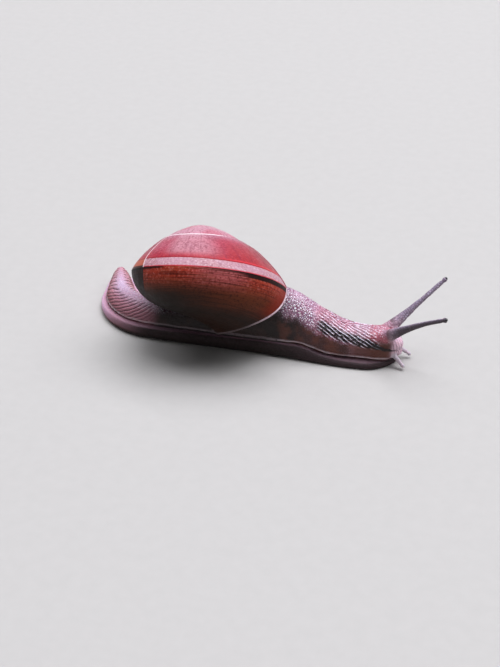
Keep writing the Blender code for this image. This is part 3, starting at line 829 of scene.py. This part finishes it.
def mergeSole(piece):
    # the flat sole's many small faces become one
    mesh = bmesh.new()
    mesh.from_mesh(piece.data)
    flat = [face for face in mesh.faces if all(corner.co.z == 0 for corner in face.verts)]
    bmesh.ops.dissolve_faces(mesh, faces=flat, use_verts=True)
    mesh.to_mesh(piece.data)
    mesh.free()
    piece.data.shade_smooth()


mergeSole(skinPiece)
print("skin sculpted:", len(skinPiece.data.polygons), "faces")

eye = {"radius": 0.50, "sink": 0.34, "bulge": 0.10}


def makeEye(name, which):
    # a ball let into the tip of the feeler that stands out a little ahead
    line, _ = feelerLine("upper", which, np.array([0.9, 1.0]))
    lean = np.linspace(0.04, pi - 0.04, 26)
    radius = eye["radius"] * (1 + eye["bulge"] * bump(pi, 0.8, lean))
    ahead = unit(line[1] - line[0])
    line = line[1] - ahead * (eye["sink"] + (radius * np.cos(lean))[:, None])
    rings = ringsAbout(line, radius * np.sin(lean), body["around"]["eye"])
    return newPiece(name, *closedLoft(rings))


eyePieces = [makeEye("eyeLeft", 0), makeEye("eyeRight", 1)]
print("eyes made")


def addNode(tree, kind, inputs=None, output=0, **settings):
    # one node with its settings; an input is either a value or the output that feeds it, and one
    # of the node's own outputs comes back
    node = tree.nodes.new(kind)
    for name, value in settings.items():
        setattr(node, name, value)
    for key, value in (inputs or {}).items():
        if isinstance(value, bpy.types.NodeSocket):
            tree.links.new(value, node.inputs[key])
        else:
            node.inputs[key].default_value = value
    return node.outputs[output] if node.outputs else None


def addUp(tree, sources, total, weights):
    # a value plus each source times its weight
    for name, weight in weights.items():
        total = addNode(tree, "ShaderNodeMath", {0: sources[name], 1: weight, 2: total},
                        operation="MULTIPLY_ADD")
    return total


def addSources(tree, finish):
    # what a finish draws its patterns from, by name: coordinates, the parts of UV maps, attributes,
    # noises with so many waves for each unit, granules so many millimetres across, sums, cosines
    # with so many millimetres to a wave, and masks
    sources = {"object": addNode(tree, "ShaderNodeTexCoord", output="Object")}
    for chart, names in finish.get("charts", {}).items():
        sources[chart] = addNode(tree, "ShaderNodeUVMap", uv_map=chart)
        for part, name in enumerate(names):
            sources[name] = addNode(tree, "ShaderNodeSeparateXYZ", {0: sources[chart]}, part)
    for name in finish.get("attributes", ()):
        sources[name] = addNode(tree, "ShaderNodeAttribute", output="Fac", attribute_name=name)
    for name, (place, waves, detail) in finish["noises"].items():
        waves = waves if isinstance(waves, tuple) else (waves,) * 3
        spread = addNode(tree, "ShaderNodeMapping", {0: sources[place], 3: waves})
        sources[name] = addNode(tree, "ShaderNodeTexNoise", {0: spread, "Scale": 1.0,
                                                             "Detail": detail})
    for name, width in finish.get("granules", {}).items():
        sources[name] = addNode(tree, "ShaderNodeTexVoronoi",
                                {0: sources["object"], "Scale": 1 / (width * mm)}, "Distance",
                                feature="DISTANCE_TO_EDGE")
    for name, (start, weights) in finish.get("sums", {}).items():
        sources[name] = addUp(tree, sources, start, weights)
    for name, (source, step) in finish.get("cosines", {}).items():
        turning = addUp(tree, sources, 0.0, {source: 2 * pi / step})
        sources[name] = addNode(tree, "ShaderNodeMath", {0: turning}, operation="COSINE")
    # a mask is an easy step of a source from 0 at one value to 1 at the other, or with four values
    # a span that rises between the first two and falls between the last two
    for source, steps in finish.get("masks", {}).items():
        for name, ends in steps.items():
            made = [addNode(tree, "ShaderNodeMapRange", {0: sources[source], 1: low, 2: high},
                            interpolation_type="SMOOTHSTEP")
                    for low, high in (ends[:2], ends[:1:-1])[:len(ends) // 2]]
            sources[name] = made[0] if len(made) == 1 else addNode(
                tree, "ShaderNodeMath", {0: made[0], 1: made[1]}, operation="MULTIPLY")
    return sources


def makeMaterial(name, finish):
    # layers over a ground, each a tone, an amount and the masks that it is multiplied by; roughness
    # from one value to another as a noise goes from 0.3 to 0.7, with more where it is duller; bumps
    # of a strength, a depth in millimetres and a sum
    made = bpy.data.materials.new(name)
    made.use_nodes = True
    tree = made.node_tree
    tree.nodes.clear()
    sources = addSources(tree, finish)
    colour = linear(finish["ground"])
    for layer in finish["layers"]:
        tone, amount, *masks = layer.split()
        amount = float(amount)
        for mask in masks:
            amount = addNode(tree, "ShaderNodeMath", {0: sources[mask], 1: amount},
                             operation="MULTIPLY")
        colour = addNode(tree, "ShaderNodeMix", {0: amount, 6: colour, 7: linear(tone)}, 2,
                         data_type="RGBA")
    inputs = {"Base Color": colour, **finish["shader"]}
    if "rough" in finish:
        source, least, most, duller = finish["rough"]
        rough = addNode(tree, "ShaderNodeMapRange", {0: sources[source], 1: 0.3, 2: 0.7, 3: least,
                                                     4: most})
        inputs["Roughness"] = addUp(tree, sources, rough, duller)
    if "bumps" in finish:
        strength, depth, weights = finish["bumps"]
        inputs["Normal"] = addNode(tree, "ShaderNodeBump", {
            "Height": addUp(tree, sources, 0.0, weights), "Strength": strength,
            "Distance": depth * mm})
    shader = addNode(tree, "ShaderNodeBsdfPrincipled", inputs)
    addNode(tree, "ShaderNodeOutputMaterial", {"Surface": shader})
    return made


# shell lime under a thin polished skin: rose red under a painted milky sheen above, dark mahogany
# below, darker still towards the bottom with painted shade
polishedShell = {
    "charts": {"growth": ("back",), "reach": ("fromSuture", "fromKeel"),
               "scar": ("fromScar", "size")},
    # waves for each turn and row of the shell (growth lines 0.64 mm apart, striae 0.3 mm apart and
    # many millimetres long) or for each metre of space
    "noises": {"lines": ("growth", (190, 2.5, 1), 3), "striae": ("growth", (9, 64, 1), 3),
               "streaks": ("growth", (16, 22, 1), 3), "mottle": ("object", 700, 4),
               "flecks": ("object", 1700, 2), "patches": ("object", 150, 3)},
    "sums": {"edge": (-0.1, {"mottle": 0.2, "fromKeel": 1})},  # the band's edges wander
    # edge is in millimetres over the keel, fromSuture and fromScar in millimetres, back in turns
    # back from the lip, and size a whorl's share of the last one
    "masks": {
        "edge": {"over": (-0.05, 0.05), "under": (0.05, -0.05), "nearBand": (8.5, 3.2),
            "wideBand": (15, 7), "milkyLow": (3.3, 6.2), "high": (4.5, 8.5),
            "upperBase": (-12, -7), "bandTop": (3.05, 2.9), "lowLine": (0.34, 0.22),
            "sootWide": (-1.4, -1), "sootThin": (-0.38, -0.2), "sootMiddle": (-0.8, -0.45),
            "keelSide": (-7, -0.5), "deep": (-6, -13), "deeper": (-3, -8.5), "oldSoot": (0.9, 0.5),
            "band": (0.22, 0.34, 2.9, 3.05), "bright": (2.86, 3, 3.6, 4.2),
            "red": (2.86, 3, 3.3, 3.6)},
        "fromScar": {"old": (-0.05, 0.05), "young": (0.05, -0.05), "scarDark": (1.1, 0.25),
            "scarLine": (-0.2, -0.1, 0.12, 0.22)},
        "patches": {"dull": (0.42, 0.66), "sutureWhole": (0.76, 0.68)},
        "lines": {"line": (0.48, 0.7)},
        "striae": {"stria": (0.44, 0.66)},
        "streaks": {"streak": (0.46, 0.68)},
        "flecks": {"fleck": (0.54, 0.66), "pit": (0.46, 0.36)},
        "back": {"crown": (0.9, 1.05), "right": (0.2, 0.12), "farRight": (0.075, 0.02),
            "milky": (0.15, 0.22), "milkyEnd": (0.32, 0.27), "midLine": (0.25, 0.19),
            "nearLip": (0.17, 0.12), "nearScar": (0.29, 0.32), "middle": (0.27, 0.19),
            "notLip": (0.1, 0.16), "lipSide": (0.06, 0.01), "backSide": (0.1, 0.27),
            "inside": (-0.002, -0.012), "boldPart": (0.1, 0.16, 0.33, 0.4)},
        "size": {"early": (0.16, 0.05)},
        "fromSuture": {"nearSuture": (4.5, 0.8), "sutureLine": (0.4, 0.3),
            "sutureBold": (0.95, 0.75)},
    },
    "ground": "#ae4c5e",
    "layers": (
        # over the keel: a painted milky sheen pales the crown, the rows near the suture and the
        # middle of the whorl, and painted shade darkens the red next to the lip
        "#8a4052 0.75 dull", "#b0585e 0.4 dull right", "#b07e90 0.7 nearSuture",
        "#b02630 0.76 nearBand", "#a03032 0.74 wideBand right",
        "#c2909a 0.66 milky milkyEnd milkyLow", "#7a141c 0.78 farRight high",
        "#9c4652 0.65 old high", "#c99aa8 0.8 crown", "#b8485c 0.5 crown dull", "#7e2f48 0.35 line",
        "#d87a88 0.16 fleck", "#b88a96 0.7 early", "#7a2c3c 0.5 pit",
        "#e6b4c4 0.18 fleck milky high",
        # the band and its lines
        "#d8404a 0.8 bright right", "#8c1420 0.85 red", "#b88890 0.96 band",
        "#e0c6cc 0.45 band fleck", "#8c5563 0.55 band pit", "#c39db0 0.35 band dull",
        "#b4502e 0.95 bandTop over old", "#1a0a08 0.95 oldSoot over old",
        "#c83a48 0.85 lowLine over young",
        # the underside, darker towards the bottom and the back, partly its own dark brown and
        # partly painted shade
        "#662f17 1 under", "#b43826 0.9 under keelSide", "#a84c42 0.42 under streak keelSide",
        "#d08078 0.45 under fleck keelSide", "#b86c74 0.5 under keelSide middle notLip",
        "#4a120e 0.6 under stria keelSide", "#3a0e0a 0.55 under pit", "#8a4026 0.45 under streak",
        "#1d0a07 0.45 under stria", "#9c3424 0.65 under lipSide upperBase",
        "#120c07 0.92 deeper backSide", "#130c07 0.9 deep", "#0a0605 0.9 under sootThin midLine",
        "#0a0605 0.95 under sootWide nearLip", "#140605 0.92 under sootMiddle nearScar",
        "#0b0605 0.95 under old",
        # scar, suture and the mouth's inner wall
        "#2a0c0c 0.6 under scarDark old", "#ecd6da 0.95 over scarLine",
        "#fbeef0 0.95 sutureLine sutureWhole", "#fbeef0 0.9 sutureBold boldPart",
        "#c78a9a 0.6 sutureLine crown", "#8a6a66 1 inside",
    ),
    "rough": ("mottle", 0.3, 0.44, {"under": 0.14}),
    "shader": {"IOR": 1.53, "Specular IOR Level": 0.13},
    "bumps": (0.4, 0.1, {"lines": 1, "striae": 1}),
}

# live snail skin: wet and a little translucent; its granules glint partly by their gloss and partly
# by painted glints, against creases darkened with painted shade
wetSkin = {
    "attributes": tuple(skinMasks),
    # waves for each metre
    "noises": {"speckle": ("object", 1500, 3), "patches": ("object", 230, 3),
               "glitter": ("object", 650, 2)},
    "granules": {"cellEdge": 0.62},
    "cosines": {"wave": ("slanting", relief["furrowStep"])},
    # distance is in millimetres from the tail tip, rise over the groove, and tall the share of the
    # way up from there
    "masks": {
        "cellEdge": {"crevice": (0.16, 0.02), "dome": (0.1, 0.3)},
        "patches": {"dull": (0.44, 0.64)},
        "glitter": {"spark": (0.48, 0.6), "unbroken": (0.36, 0.5), "lineBroken": (0.2, 0.45)},
        "distance": {"shine": (82, 77), "neckBack": (80, 72), "shaded": (74, 66),
            "offTail": (30, 36), "headFrom": (88.5, 92), "redFrom": (93, 95.5),
            "snoutFrom": (99.5, 101.5), "tailFurther": (33, 22), "tailRoot": (15, 27),
            "frontFringe": (70, 80), "midFringe": (23, 33), "nearTailFringe": (17, 26),
            "pink": (78, 82.5, 88, 94), "sheen": (90.5, 93, 96.5, 99.5),
            "cheek": (93, 97, 100.2, 101.8)},
        "tall": {"lowFlank": (0.7, 0.48), "topSide": (0.45, 0.72), "crest": (0.9, 1.02),
            "glow": (0.6, 0.76, 0.88, 1.02)},
        "rise": {"cheekLow": (6.6, 4.6), "browFrom": (6.6, 7.6), "tailTop": (3, 5.4),
            "tailLow": (3.2, 1.6), "fringeLow": (-1.4, -2.3), "fringeLowest": (-1.5, -2.5),
            "redRows": (4.6, 6, 7.2, 8.4)},
        "along": {"feelerHue": (0.03, 0.34)},
        "outer": {"inner": (0.6, 0.1)},
        "folds": {"valley": (0.7, 0.34)},
        "wave": {"glint": (0.6, 0.92), "fine": (0, -0.5)},
        "pleats": {"pleatValley": (0.55, 0.2)},
    },
    "ground": "#a87c98",
    "layers": (
        # tubercles of neck and body: painted glints and highlights on top, painted shade in the
        # crevices, a lower flank dark brown partly from painted shade, and painted shadow under the
        # shell
        "#dfbdd6 1 dome", "#fbf2ff 0.95 dome spark topSide", "#f6ecfa 0.92 dome shine topSide",
        "#ffffff 0.75 dome shine glow", "#75485f 0.68 crevice", "#a86c84 0.28 dull",
        "#b07c94 0.35 crest", "#d890a4 0.75 pink topSide", "#b0606f 0.45 pink dull",
        "#7c3048 0.7 pink crevice", "#401d12 0.95 lowFlank", "#170c0a 0.93 lowFlank neckBack",
        "#6e3a2c 0.6 lowFlank dull", "#1c0e0a 0.88 shaded",
        # head: painted glints and a painted sheen on top, and painted shade in the snout's pleats
        "#b07e8c 0.7 headFrom", "#b04a58 0.7 redFrom redRows",
        "#f6ecf8 0.75 headFrom dome spark topSide", "#e0c8dc 0.8 sheen browFrom dome",
        "#542616 0.82 headFrom lowFlank", "#e8c4d4 0.88 snoutFrom", "#5c2c1c 0.85 cheek cheekLow",
        "#6b3a48 0.6 snoutFrom pleatValley",
        # the stripe and its furrows: painted glints along the ridges and painted shade in the
        # troughs
        "#0f080a 0.96 stripe", "#160c10 0.55 furrow fine", "#ece0f0 0.9 furrow glint unbroken",
        # tail: a paler top, partly its own colour and partly painted sheen, with painted shade in
        # the folds and towards the shell
        "#bc7c8a 1 tail", "#cabedc 0.75 tail tailTop", "#7d3a3c 0.8 tail tailLow tailFurther",
        "#8a5a66 0.62 tail tailRoot", "#431c2a 0.9 tail valley",
        # foot fringe, groove and ridge: painted shade in the groove and along the fringe, painted
        # shadow under the shell, and a painted highlight along the ridge
        "#dcb0cc 1 fringe", "#9a5a58 0.75 fringe fringeLow", "#6a3c3a 0.75 fringe nearTailFringe",
        "#241614 0.85 fringe fringeLowest nearTailFringe", "#1c1210 0.95 fringe midFringe",
        "#37262a 0.9 fringe frontFringe", "#1d1013 0.7 hollow", "#e6d2da 0.8 line lineBroken",
        "#1c1210 0.96 line shaded offTail",
        # feelers: painted glints on their inner sides and painted shade in their crevices,
        # underneath and on their outer sides
        "#96859a 1 feelerHue", "#d6c8dc 0.6 feelerHue dome spark inner",
        "#5c4a58 0.6 feeler crevice", "#4a3c40 0.6 feeler under", "#352b2e 0.8 feelerHue outer",
        "#cbbcc6 0.9 lowest",
    ),
    # the fringe and flanks are duller than the wet granules
    "rough": ("speckle", 0.2, 0.36, {"fringe": 0.25, "lowFlank": 0.3, "feeler": 0.1}),
    "shader": {"IOR": 1.5, "Subsurface Weight": 0.1, "Subsurface Radius": (0.6, 0.25, 0.2),
               "Subsurface Scale": 0.0012},
    "bumps": (0.6, 0.09, {"dome": 1, "speckle": 0.25}),
}

# bare shell lime at the lip: chalky white with a pink cast, less polished than the whorl
limeLip = {
    "attributes": ("stained", "blushed"),
    "noises": {"grit": ("object", 900, 4)},
    "masks": {"grit": {"worn": (0.4, 0.7)}},
    "ground": "#ecd2dc",
    # the lip is dark brown along its lower rows and red along its upper ones
    "layers": ("#c093a4 0.9 worn", "#2a1512 0.95 stained", "#8e3040 0.95 blushed"),
    "shader": {"IOR": 1.53, "Roughness": 0.36},
    "bumps": (0.4, 0.1, {"grit": 1}),
}

# a moist black eye spot: almost no colour, so only the highlight shows
moistEye = {
    "noises": {"cloudy": ("object", 1800, 2)},
    "ground": "#0b0a0d",
    "layers": ("#1f1a20 1 cloudy",),
    "shader": {"IOR": 1.4, "Roughness": 0.08, "Coat Weight": 0.6, "Coat Roughness": 0.03},
}

eyeMaterial = makeMaterial("moistEye", moistEye)
for piece, made, slot, nodes in (
    (shellPiece, makeMaterial("polishedShell", polishedShell), "shell", ["shell"]),
    (rimPiece, makeMaterial("limeLip", limeLip), "rim", ["shell_lip"]),
    (skinPiece, makeMaterial("wetSnailSkin", wetSkin), "skin",
     ["mantle", "trunk", "neck", "head", "mouth", "tail", "foot_front", "foot_middle", "foot_rear",
      "upper_feeler_left", "upper_feeler_right", "lower_feeler_left", "lower_feeler_right"]),
    (eyePieces[0], eyeMaterial, "eye", ["eye_left"]),
    (eyePieces[1], eyeMaterial, "eye", ["eye_right"]),
):
    piece.data.materials.append(made)
    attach(piece, "root")
    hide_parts(*nodes)
print("materials and nodes assigned")

# the floor and the lights, in metres and watts
stage = {
    "flat": 1.5, "rise": 0.6, "rings": (12, 24), "sides": 96,
    # matt card with a faint fibre, so the floor stays plain
    "card": {"noises": {"fibres": ("object", 300, 3)}, "ground": "#b9b5b1",
             "layers": ("#86827e 0.15 fibres",), "shader": {"Roughness": 0.85}},
    "worldStrength": 0.10, "world": "#dfe6ee", "lamp": "#f4f7ff",
    # azimuth, elevation, distance, size, power
    "lights": ((165, 76, 2.4, 1.92, 82), (112, 52, 2.4, 1.2, 20), (255, 52, 2.4, 1.2, 12.6)),
}


def away(azimuth, elevation, distance):
    # a point seen from the snail: azimuth 0 is its right side, 90 ahead of it
    a, e = radians(azimuth), radians(elevation)
    return Vector((sin(a) * cos(e), -cos(a) * cos(e), sin(e))) * distance


def makeFloor():
    # a flat disc whose edge rises all round in a quarter of a circle; one point at its middle
    (level, rising), around = stage["rings"], circle(stage["sides"])
    lean = np.linspace(0, quarter, rising + 1)[1:]
    reach = join(np.linspace(0, stage["flat"], level), stage["flat"] + stage["rise"] * np.sin(lean))
    height = join(np.zeros(level), stage["rise"] * (1 - np.cos(lean)))[:, None]
    grid = pack(reach[:, None] * np.cos(around), reach[:, None] * np.sin(around), height)
    index = np.maximum(np.arange(len(reach) * len(around)) + 1 - len(around), 0)
    index = wrapped(index.reshape(len(reach), -1))
    points = grid.reshape(-1, 3)[len(around) - 1:] / mm + origin
    return newPiece("floor", points, bareFaces(index[:, ::-1]))  # reversed, to face up


floor = makeFloor()
floor.data.materials.append(makeMaterial("matCard", stage["card"]))


def aim(name, data, direction, target=(0, 0, 0)):
    # a lamp or camera out from a target, looking back at it
    holder = bpy.data.objects.new(name, data)
    holder.location = Vector(target) + direction
    holder.rotation_euler = (-direction).to_track_quat("-Z", "Y").to_euler()
    bpy.context.scene.collection.objects.link(holder)
    return holder


scene = bpy.context.scene
scene.world = bpy.data.worlds.new("studio")
scene.world.use_nodes = True
sky = scene.world.node_tree.nodes["Background"].inputs
sky[0].default_value, sky[1].default_value = linear(stage["world"]), stage["worldStrength"]
for number, (azimuth, elevation, distance, size, power) in enumerate(stage["lights"]):
    lamp = bpy.data.lights.new(f"softbox{number}", "AREA")
    lamp.size, lamp.energy = size, power
    lamp.color = linear(stage["lamp"])[:3]
    aim(lamp.name, lamp, away(azimuth, elevation, distance)).visible_camera = False

camera = {"azimuth": 15, "elevation": 33, "distance": 0.3784, "lens": 75.56, "sensor": 36.0,
          "target": (-0.0004, -0.01335, 0.010)}  # metres
view = bpy.data.cameras.new("view")
view.sensor_fit = "AUTO"
view.sensor_width = camera["sensor"]
view.lens = camera["lens"]
view.clip_start, view.clip_end = 0.01, 20
scene.camera = aim("view", view, away(camera["azimuth"], camera["elevation"], camera["distance"]),
                   camera["target"])
scene.view_settings.view_transform = "Standard"  # the hex colours stay as saturated as given
